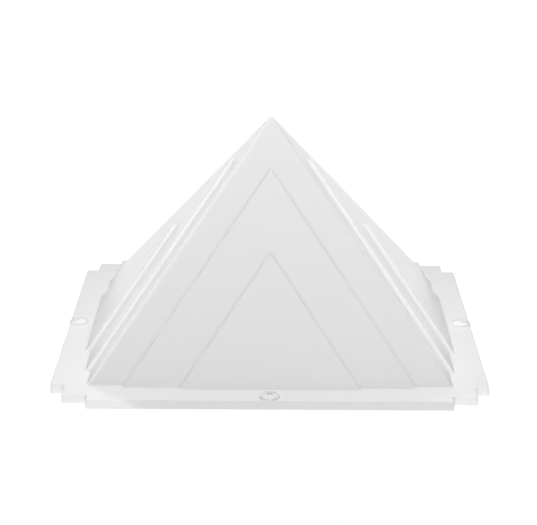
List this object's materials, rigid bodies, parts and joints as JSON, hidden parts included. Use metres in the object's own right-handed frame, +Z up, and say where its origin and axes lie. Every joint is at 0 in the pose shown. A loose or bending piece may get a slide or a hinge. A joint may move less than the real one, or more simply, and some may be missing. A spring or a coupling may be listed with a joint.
{
  "type": "fence post cap",
  "caption": "Hollow square pyramid cap with raised nested gables on a flat flange with stepped corners, screwed down through bosses to close the top of a square fence post.",
  "frame": {"origin": "centre of the flange's underside, in the plane of the post's top", "axes": "+Z up along the pyramid's axis towards its apex; -Y out of the front face; +X to the right seen from the front"},
  "size_m": [0.1502, 0.1502, 0.0953],
  "materials": {
    "white_moulding": "semi-gloss white injection moulding, UV-stable ABS or ASA",
    "white_painted_steel": "white-coated steel"
  },
  "bodies": {
    "cap": {"cap_shell": "white_moulding"},
    "front_fixing": {"screw_front": "white_painted_steel"},
    "right_fixing": {"screw_right": "white_painted_steel"},
    "back_fixing": {"screw_back": "white_painted_steel"},
    "left_fixing": {"screw_left": "white_painted_steel"}
  },
  "joints": [
    {"name": "screw_front_out", "type": "slide", "parent": "cap", "child": "front_fixing", "axis": [0, 0, 1], "range_m": [0, 0.018]},
    {"name": "screw_right_out", "type": "slide", "parent": "cap", "child": "right_fixing", "axis": [0, 0, 1], "range_m": [0, 0.018]},
    {"name": "screw_back_out", "type": "slide", "parent": "cap", "child": "back_fixing", "axis": [0, 0, 1], "range_m": [0, 0.018]},
    {"name": "screw_left_out", "type": "slide", "parent": "cap", "child": "left_fixing", "axis": [0, 0, 1], "range_m": [0, 0.018]}
  ]
}
